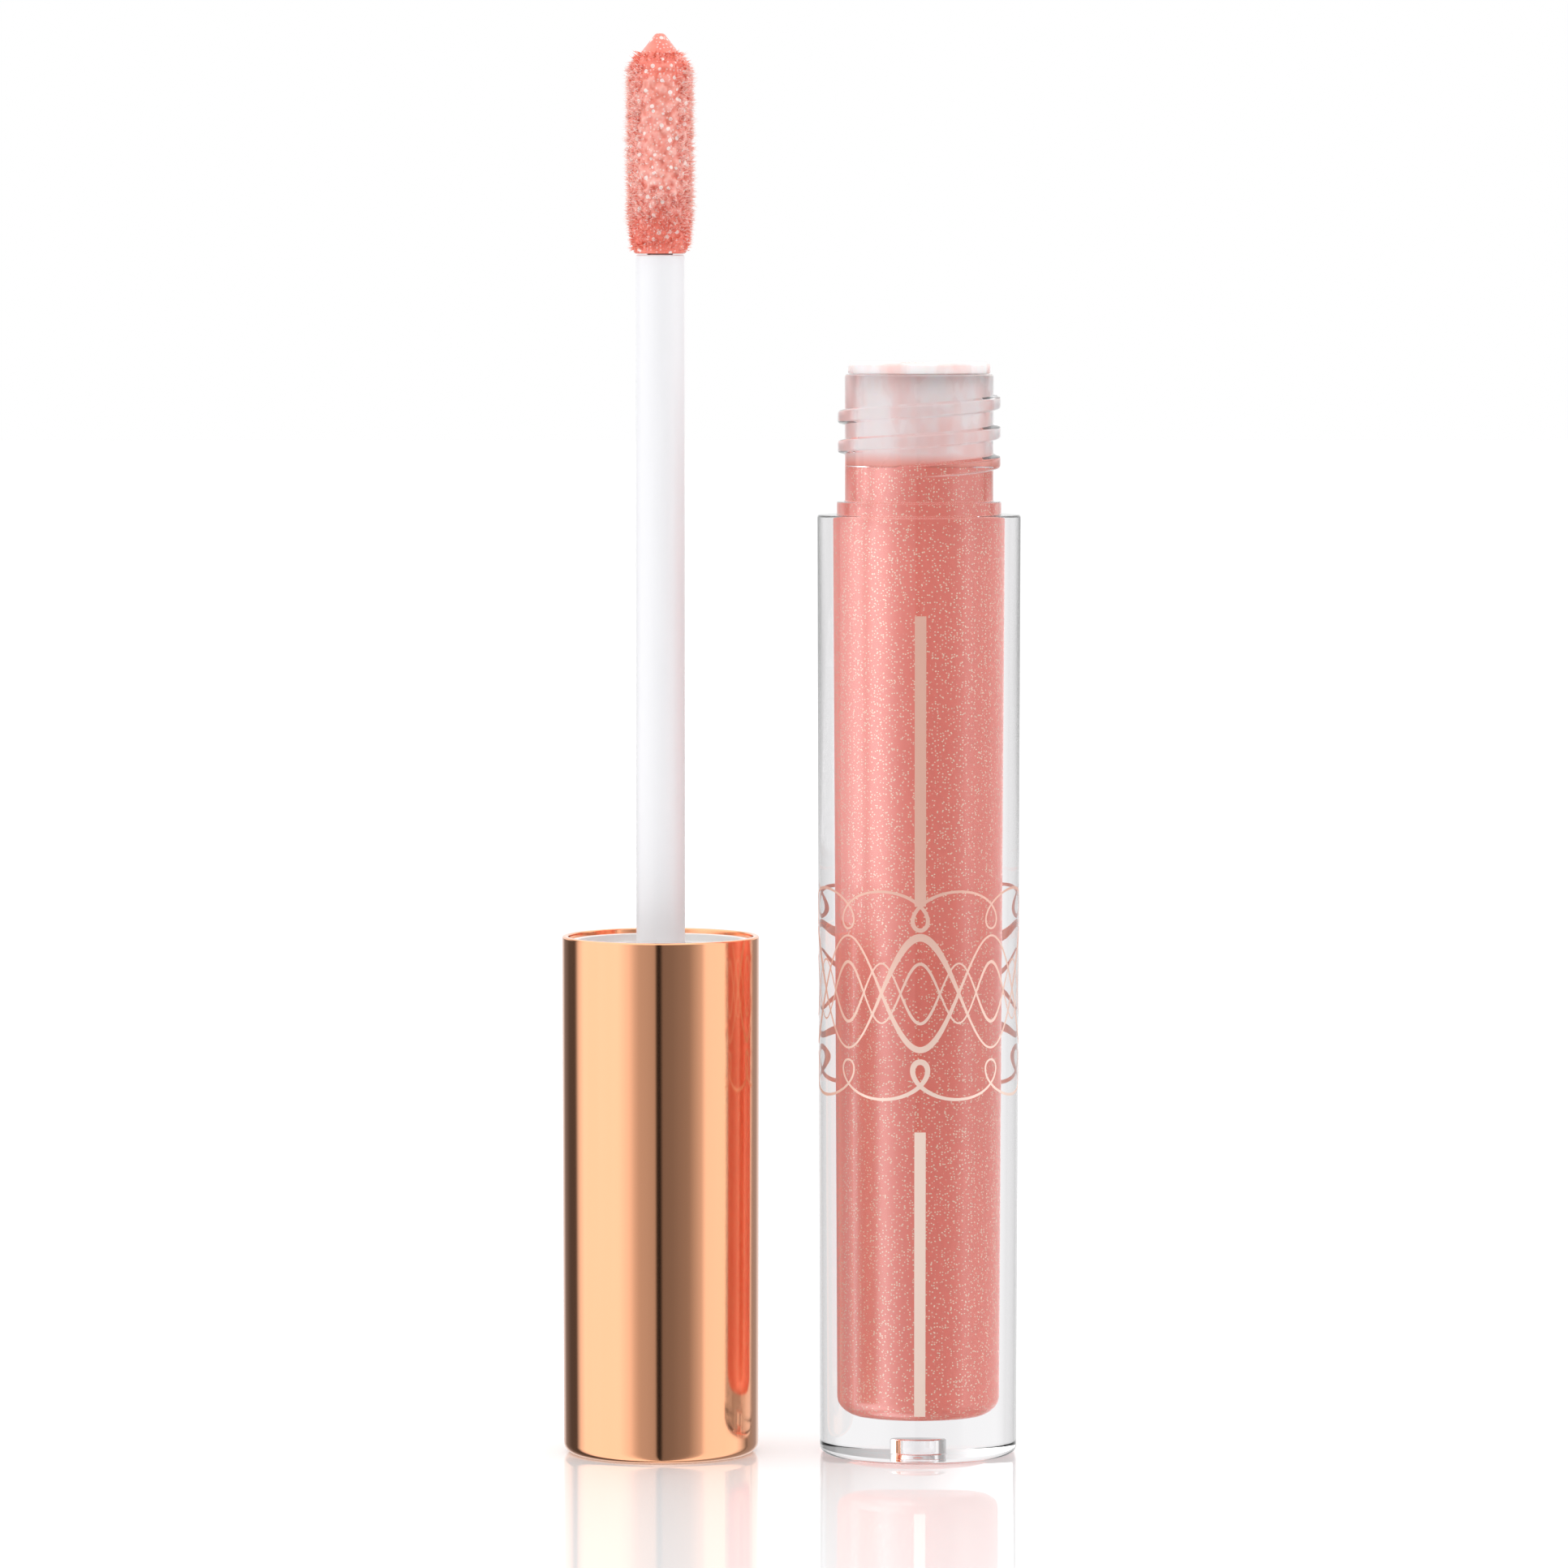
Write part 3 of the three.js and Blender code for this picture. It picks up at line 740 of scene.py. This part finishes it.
# Each stroke: its name, its path, its thin and thick widths in millimetres, and its repeats.
for name, path, thin, thick, repeats in (
    ("foil_ogee_a", wave(4.7 * MM, motif_count), 0.20, 0.75, motif_count),
    ("foil_ogee_b", wave(-4.7 * MM, motif_count), 0.20, 0.60, motif_count),
    ("foil_lattice_a", wave(2.5 * MM, 2 * motif_count), 0.17, 0.30, 2 * motif_count),
    ("foil_lattice_b", wave(-2.5 * MM, 2 * motif_count), 0.17, 0.30, 2 * motif_count),
    ("foil_curls_top", curls(1.6 * MM, 2 * motif_count, 6.9 * MM, 1), 0.20, 0.42, motif_count),
    ("foil_curls_foot", curls(1.6 * MM, 2 * motif_count, -7.3 * MM, -1), 0.20, 0.55, motif_count),
):
    foil_stroke(name, path, swelling(thin * MM, thick * MM, repeats))

# ---------------------------------------------------------------------------
# Cap shell: a drawn aluminium cup, anodised rose gold, standing on its closed
# end. The rim is rolled smooth and the closed end has a soft edge.
# ---------------------------------------------------------------------------

shell_low, shell_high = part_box("cap_shell")
cap_axis = (shell_low.x + shell_high.x) / 2
rim_radius = (shell_high.x - shell_low.x) / 2
end_radius = rim_radius - 0.075 * MM
cap_rim = shell_high.z
shell_wall = 0.5 * MM
shell_end_wall = 0.8 * MM


def rose_metal():
    material, nodes, links, surface = new_material("rose_gold_metal")
    surface.inputs["Metallic"].default_value = 1
    where = nodes.new("ShaderNodeTexCoord")
    drawn = nodes.new("ShaderNodeMapping")
    drawn.inputs["Scale"].default_value = (900, 900, 12)
    grain = nodes.new("ShaderNodeTexNoise")
    grain.inputs["Scale"].default_value = 1
    links.new(where.outputs["Object"], drawn.inputs["Vector"])
    links.new(drawn.outputs["Vector"], grain.inputs["Vector"])
    tone = nodes.new("ShaderNodeMixRGB")
    tone.inputs["Color1"].default_value = (0.93, 0.44, 0.245, 1)
    tone.inputs["Color2"].default_value = (0.96, 0.465, 0.27, 1)
    links.new(grain.outputs["Fac"], tone.inputs["Fac"])
    links.new(tone.outputs["Color"], surface.inputs["Base Color"])
    polish = nodes.new("ShaderNodeMapRange")
    polish.inputs["To Min"].default_value = 0.09
    polish.inputs["To Max"].default_value = 0.13
    links.new(grain.outputs["Fac"], polish.inputs["Value"])
    links.new(polish.outputs["Result"], surface.inputs["Roughness"])
    return material


shell = turned("cap_shell_cup", cap_axis, [
    (0, 0),
    (end_radius, 0, 0.9 * MM),
    (rim_radius, cap_rim, 0.16 * MM),
    (rim_radius - shell_wall, cap_rim, 0.12 * MM),
    (end_radius - shell_wall, shell_end_wall, 0.4 * MM),
    (0, shell_end_wall),
])
shell.data.materials.append(rose_metal())
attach(shell, "cap")
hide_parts("cap_shell")

# ---------------------------------------------------------------------------
# Cap liner: the moulded inner cap, with the thread, a counterbore for the
# vial's collar, the seal face and the socket that grips the stem.
# ---------------------------------------------------------------------------

stem_low, stem_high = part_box("wand_stem")
stem_radius = (stem_high.x - stem_low.x) / 2
liner_low, liner_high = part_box("cap_liner")
liner_radius = (liner_high.x - liner_low.x) / 2
thread_root = 7.0 * MM
seal_face = cap_rim - 12.63 * MM
socket_foot = stem_low.z
socket_radius = stem_radius + 0.03 * MM
socket_wall = 1.5 * MM
liner_wall = 1.6 * MM
seal_wall = 2.0 * MM
counterbore_radius = collar_radius + 0.25 * MM
counterbore_floor = cap_rim - 1.05 * MM
rim_gap = 0.3 * MM  # closed, the rim stands this far above the shoulder
inner_thread_low = cap_rim - 9.0 * MM
inner_thread_high = cap_rim - 4.5 * MM
hidden_facets = 96  # enough for the small and the hidden rounds


def liner_plastic():
    material, nodes, links, surface = new_material("liner_plastic")
    where = nodes.new("ShaderNodeTexCoord")
    mottle = nodes.new("ShaderNodeTexNoise")
    mottle.inputs["Scale"].default_value = 900
    links.new(where.outputs["Object"], mottle.inputs["Vector"])
    tone = nodes.new("ShaderNodeMixRGB")
    tone.inputs["Color1"].default_value = (0.86, 0.85, 0.84, 1)
    tone.inputs["Color2"].default_value = (0.90, 0.89, 0.88, 1)
    links.new(mottle.outputs["Fac"], tone.inputs["Fac"])
    links.new(tone.outputs["Color"], surface.inputs["Base Color"])
    matt = nodes.new("ShaderNodeMapRange")
    matt.inputs["To Min"].default_value = 0.35
    matt.inputs["To Max"].default_value = 0.5
    links.new(mottle.outputs["Fac"], matt.inputs["Value"])
    links.new(matt.outputs["Result"], surface.inputs["Roughness"])
    return material


# Closed, the inner ridge runs half a pitch clear of the ridge on the neck.
closed_rise = rim_gap + cap_rim - inner_thread_low - thread_start - thread_pitch / 2
inner_thread_angle = math.pi - (thread_start_angle + closed_rise / thread_pitch * math.tau)
liner = turned("cap_liner_moulding", cap_axis, [
    (socket_radius, seal_face),
    (socket_radius, socket_foot),
    (stem_radius + socket_wall, socket_foot, 0.3 * MM),
    (stem_radius + socket_wall, seal_face - seal_wall, 0.4 * MM),
    (liner_radius - liner_wall, seal_face - seal_wall, 0.4 * MM),
    (liner_radius - liner_wall, liner_low.z, 0.2 * MM),
    (liner_radius - 0.2 * MM, liner_low.z, 0.2 * MM),
    (liner_radius, liner_high.z, 0.1 * MM),
    (counterbore_radius, liner_high.z, 0.08 * MM),
    (counterbore_radius, counterbore_floor),
    (thread_root, counterbore_floor, 0.1 * MM),
    (thread_root, seal_face, 0.2 * MM),
    (socket_radius, seal_face),
], facets=hidden_facets)
liner_finish = liner_plastic()
liner.data.materials.append(liner_finish)
inner_thread = thread_ridge(
    cap_axis, thread_root + 0.1 * MM, neck_radius + 0.15 * MM, root_width=1.2 * MM,
    crest_width=0.7 * MM, start=inner_thread_low, end=inner_thread_high,
    start_angle=inner_thread_angle)
inner_thread.data.materials.append(liner_finish)
join_on(liner, inner_thread)
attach(liner, "cap")
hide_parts("cap_liner")

# ---------------------------------------------------------------------------
# Wand stem: a plain white moulded rod, pressed into the liner's socket and
# bored at its free end for the applicator's peg.
# ---------------------------------------------------------------------------


def stem_plastic():
    material, nodes, links, surface = new_material("white_stem_plastic")
    surface.inputs["Subsurface Weight"].default_value = 0.15
    surface.inputs["Subsurface Radius"].default_value = (1, 1, 1)
    surface.inputs["Subsurface Scale"].default_value = 0.6 * MM
    where = nodes.new("ShaderNodeTexCoord")
    flow = nodes.new("ShaderNodeMapping")
    flow.inputs["Scale"].default_value = (700, 700, 60)
    streak = nodes.new("ShaderNodeTexNoise")
    streak.inputs["Scale"].default_value = 1
    links.new(where.outputs["Object"], flow.inputs["Vector"])
    links.new(flow.outputs["Vector"], streak.inputs["Vector"])
    tone = nodes.new("ShaderNodeMixRGB")
    tone.inputs["Color1"].default_value = (0.83, 0.83, 0.85, 1)
    tone.inputs["Color2"].default_value = (0.87, 0.87, 0.89, 1)
    links.new(streak.outputs["Fac"], tone.inputs["Fac"])
    links.new(tone.outputs["Color"], surface.inputs["Base Color"])
    satin = nodes.new("ShaderNodeMapRange")
    satin.inputs["To Min"].default_value = 0.25
    satin.inputs["To Max"].default_value = 0.38
    links.new(streak.outputs["Fac"], satin.inputs["Value"])
    links.new(satin.outputs["Result"], surface.inputs["Roughness"])
    return material


stem_bore = 1.155 * MM
bore_floor = stem_high.z - 8.3 * MM
stem = turned("wand_stem_rod", cap_axis, [
    (0, stem_low.z),
    (stem_radius, stem_low.z, 0.2 * MM),
    (stem_radius, stem_high.z, 0.18 * MM),
    (stem_bore, stem_high.z, 0.1 * MM),
    (stem_bore, bore_floor),
    (0, bore_floor),
], facets=hidden_facets)
stem.data.materials.append(stem_plastic())
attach(stem, "cap")
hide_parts("wand_stem")

# ---------------------------------------------------------------------------
# Applicator: a springy core on a peg in the stem, under a sleeve of short
# flock. Wet gloss smooths the flock on the front and clumps it elsewhere.
# ---------------------------------------------------------------------------


def core_elastomer():
    material, nodes, links, surface = new_material("applicator_core_elastomer")
    where = nodes.new("ShaderNodeTexCoord")
    mottle = nodes.new("ShaderNodeTexNoise")
    mottle.inputs["Scale"].default_value = 700
    links.new(where.outputs["Object"], mottle.inputs["Vector"])
    tone = nodes.new("ShaderNodeMixRGB")
    tone.inputs["Color1"].default_value = (0.78, 0.60, 0.55, 1)
    tone.inputs["Color2"].default_value = (0.84, 0.66, 0.60, 1)
    links.new(mottle.outputs["Fac"], tone.inputs["Fac"])
    links.new(tone.outputs["Color"], surface.inputs["Base Color"])
    surface.inputs["Roughness"].default_value = 0.6
    return material


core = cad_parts["applicator_core"]
core.data.materials.clear()
core.data.materials.append(core_elastomer())

flock_low, flock_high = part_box("applicator_flock")
flock_radius = (flock_high.x - flock_low.x) / 2
tip = flock_high.z
flock_foot = flock_low.z
sleeve_radius = flock_radius - 0.32 * MM
lining_radius = 2.32 * MM  # the sleeve is hollow, round the core


def flock_surface():
    material, nodes, links, surface = new_material("wet_flock")
    surface.inputs["Subsurface Weight"].default_value = 0.3
    surface.inputs["Subsurface Radius"].default_value = (1.0, 0.35, 0.25)
    surface.inputs["Subsurface Scale"].default_value = 0.5 * MM
    surface.inputs["Coat Weight"].default_value = 0.6
    surface.inputs["Coat Roughness"].default_value = 0.08
    where = nodes.new("ShaderNodeTexCoord")
    clump = nodes.new("ShaderNodeTexNoise")
    clump.inputs["Scale"].default_value = 1500
    clump.inputs["Detail"].default_value = 4
    links.new(where.outputs["Object"], clump.inputs["Vector"])
    tone = nodes.new("ShaderNodeMixRGB")
    tone.inputs["Color1"].default_value = (0.82, 0.12, 0.075, 1)
    tone.inputs["Color2"].default_value = (0.95, 0.29, 0.21, 1)
    links.new(clump.outputs["Fac"], tone.inputs["Fac"])

    # Painted light and shade on the pile: by distance from the axis, the tips are painted pale and the
    # gaps between the clumps are painted deeper, as shade.
    off_axis = nodes.new("ShaderNodeVectorMath")
    off_axis.operation = "SUBTRACT"
    off_axis.inputs[1].default_value = (cap_axis, 0, 0)
    across = nodes.new("ShaderNodeVectorMath")
    across.operation = "MULTIPLY"
    across.inputs[1].default_value = (1, 1, 0)
    reach = nodes.new("ShaderNodeVectorMath")
    reach.operation = "LENGTH"
    links.new(where.outputs["Object"], off_axis.inputs[0])
    links.new(off_axis.outputs["Vector"], across.inputs[0])
    links.new(across.outputs["Vector"], reach.inputs[0])
    painted_pile_shade = nodes.new("ShaderNodeMapRange")
    painted_pile_shade.inputs["From Min"].default_value = 2.45 * MM
    painted_pile_shade.inputs["From Max"].default_value = 2.95 * MM
    painted_pile_shade.inputs["To Max"].default_value = 0.85
    links.new(reach.outputs["Value"], painted_pile_shade.inputs["Value"])
    pile_shaded = nodes.new("ShaderNodeMixRGB")
    pile_shaded.inputs["Color2"].default_value = (1.0, 0.76, 0.70, 1)
    links.new(painted_pile_shade.outputs["Result"], pile_shaded.inputs["Fac"])
    links.new(tone.outputs["Color"], pile_shaded.inputs["Color1"])

    # Painted glints: white spots in the base colour, standing for beads of gloss that catch the light,
    # the larger ones most.
    large_painted_glints = (1500, 0.27, 0.75)
    small_painted_glints = (3600, 0.32, 0.4)
    last = pile_shaded.outputs["Color"]
    for scale, size, glint_whiteness in (large_painted_glints, small_painted_glints):
        glint_spots = nodes.new("ShaderNodeGroup")
        glint_spots.node_tree = flake_and_glint_spots
        glint_spots.inputs["Scale"].default_value = scale
        glint_spots.inputs["Size"].default_value = size
        links.new(where.outputs["Object"], glint_spots.inputs["Vector"])
        strength = nodes.new("ShaderNodeMath")
        strength.operation = "MULTIPLY"
        strength.inputs[1].default_value = glint_whiteness
        links.new(glint_spots.outputs["Mask"], strength.inputs[0])
        glint = nodes.new("ShaderNodeMixRGB")
        glint.inputs["Color2"].default_value = (1.0, 0.90, 0.86, 1)
        links.new(strength.outputs["Value"], glint.inputs["Fac"])
        links.new(last, glint.inputs["Color1"])
        last = glint.outputs["Color"]
    links.new(last, surface.inputs["Base Color"])
    gleam = nodes.new("ShaderNodeMapRange")
    gleam.inputs["To Min"].default_value = 0.22
    gleam.inputs["To Max"].default_value = 0.45
    links.new(clump.outputs["Fac"], gleam.inputs["Value"])
    links.new(gleam.outputs["Result"], surface.inputs["Roughness"])
    return material


flock = turned("flock_sleeve", cap_axis, [
    (0, tip),
    (0.35 * MM, tip, 0.3 * MM),
    (1.6 * MM, tip - 1.6 * MM, 0.9 * MM),
    (2.35 * MM, tip - 2.5 * MM, 0.8 * MM),
    (sleeve_radius, tip - 4.5 * MM, 1.6 * MM),
    (sleeve_radius, flock_foot + 4 * MM, 2 * MM),
    (stem_radius + 0.15 * MM, flock_foot, 0.2 * MM),
    (1.75 * MM, flock_foot),
    (lining_radius, flock_foot + 3.5 * MM),
    (lining_radius, tip - 4.2 * MM),
    (1.6 * MM, tip - 1.95 * MM),
    (0, tip - 0.45 * MM),
], facets=hidden_facets)


def apply_last(piece):
    """Applies the piece's newest modifier."""
    bpy.ops.object.select_all(action="DESELECT")
    bpy.context.view_layer.objects.active = piece
    piece.select_set(True)
    bpy.ops.object.modifier_apply(modifier=piece.modifiers[-1].name)


finer = flock.modifiers.new("even_mesh", "REMESH")
finer.mode = "VOXEL"
finer.voxel_size = 0.11 * MM
apply_last(flock)
lumps = bpy.data.textures.new("wet_lumps", "CLOUDS")
lumps.noise_scale = 0.55 * MM
lumps.noise_depth = 2
# The lumps fade in below the smooth tip, and stay off the lining.
smooth_tip = 1.2 * MM
fade_length = 1.5 * MM
outer_skin = 0.35 * MM
clumped = flock.vertex_groups.new(name="clumped")
for point in flock.data.vertices:
    faded_in = min(1, max(0, (tip - point.co.z - smooth_tip) / fade_length))
    outside = math.hypot(point.co.x - cap_axis, point.co.y) > sleeve_radius - outer_skin
    clumped.add([point.index], faded_in if outside else 0, "REPLACE")
lumpy = flock.modifiers.new("lumps", "DISPLACE")
lumpy.texture = lumps
lumpy.texture_coords = "LOCAL"
lumpy.vertex_group = "clumped"
lumpy.strength = 0.55 * MM
lumpy.mid_level = 0.5
apply_last(flock)
flock.vertex_groups.clear()
bpy.ops.object.shade_smooth()
wet_flock = flock_surface()
flock.data.materials.append(wet_flock)
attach(flock, "cap")
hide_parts("applicator_flock")


def tuft(height, width, lean):
    """One pointed tuft of stuck fibres, standing on the origin along +Z and leaning over."""
    belly = 0.45  # how far up the tuft is fullest
    belly_swell = 1.25
    bpy.ops.object.select_all(action="DESELECT")
    bpy.ops.mesh.primitive_cone_add(
        vertices=5, radius1=width / 2, radius2=0, depth=height, location=(0, 0, height / 2))
    piece = bpy.context.active_object
    bpy.ops.object.transform_apply(location=True, rotation=True, scale=True)
    bpy.ops.object.mode_set(mode="EDIT")
    bpy.ops.mesh.select_all(action="SELECT")
    bpy.ops.mesh.bisect(plane_co=(0, 0, belly * height), plane_no=(0, 0, 1))
    bpy.ops.object.mode_set(mode="OBJECT")
    for point in piece.data.vertices:
        share = point.co.z / height
        point.co.x += lean * height * share * share
        if abs(share - belly) < 0.05:
            point.co.x *= belly_swell
            point.co.y *= belly_swell
    return piece


draws = random.Random(11)
tufts = [
    tuft(0.66 * MM, 0.15 * MM, 0.25),
    tuft(0.55 * MM, 0.11 * MM, -0.3),
    tuft(0.85 * MM, 0.07 * MM, 0.4),
]
tuft_count = 6600
patch_half_angle = 0.6  # the wet patch on the front, where gloss has laid most of the pile flat
patch_from, patch_to = 0.3, 0.87  # its ends, as shares of the sleeve from its foot
patch_flat_share = 0.85
patch_tuft_size = 0.6
root_depth = 0.1 * MM
waist_length = 3.2 * MM  # the sleeve narrows to the stem over this length
point_top = 1.5 * MM  # below the tip; tufts there stand closer to the axis
point_length = 1.6 * MM
point_share = 0.62
pile = bmesh.new()
placed = 0
while placed < tuft_count:
    bearing = draws.uniform(-math.pi, math.pi)
    height = draws.uniform(flock_foot + 0.25 * MM, tip - 1.6 * MM)
    from_front = abs(bearing)
    from_foot = (height - flock_foot) / (tip - flock_foot)
    wet_patch = from_front < patch_half_angle and patch_from < from_foot < patch_to
    if wet_patch and draws.random() < patch_flat_share:
        continue
    waist = min(1, (height - flock_foot) / waist_length)
    below_point = (tip - height - point_top) / point_length
    pointed = min(1, point_share + (1 - point_share) * below_point)
    sleeve = stem_radius + (sleeve_radius - stem_radius) * waist ** 0.7
    root = sleeve * pointed - root_depth
    out = Vector((math.sin(bearing), -math.cos(bearing), draws.uniform(-0.25, 0.45))).normalized()
    side = Vector((math.cos(bearing), math.sin(bearing), 0)) * draws.uniform(-0.35, 0.35)
    spin = Matrix.Rotation(draws.uniform(0, math.tau), 4, "Z")
    size = Matrix.Scale(draws.uniform(0.55, 1.0) * (patch_tuft_size if wet_patch else 1), 4)
    stand = (out + side).to_track_quat("Z", "Y").to_matrix().to_4x4()
    foot = Vector((cap_axis + root * math.sin(bearing), -root * math.cos(bearing), height))
    copy = draws.choice(tufts).data.copy()
    copy.transform(Matrix.Translation(foot) @ stand @ spin @ size)
    pile.from_mesh(copy)
    bpy.data.meshes.remove(copy)
    placed += 1
pile_mesh = bpy.data.meshes.new("flock_tufts")
pile.to_mesh(pile_mesh)
pile.free()
flock_tufts = bpy.data.objects.new("flock_tufts", pile_mesh)
bpy.context.collection.objects.link(flock_tufts)
for piece in tufts:
    bpy.data.objects.remove(piece)
flock_tufts.data.materials.append(wet_flock)
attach(flock_tufts, "cap")
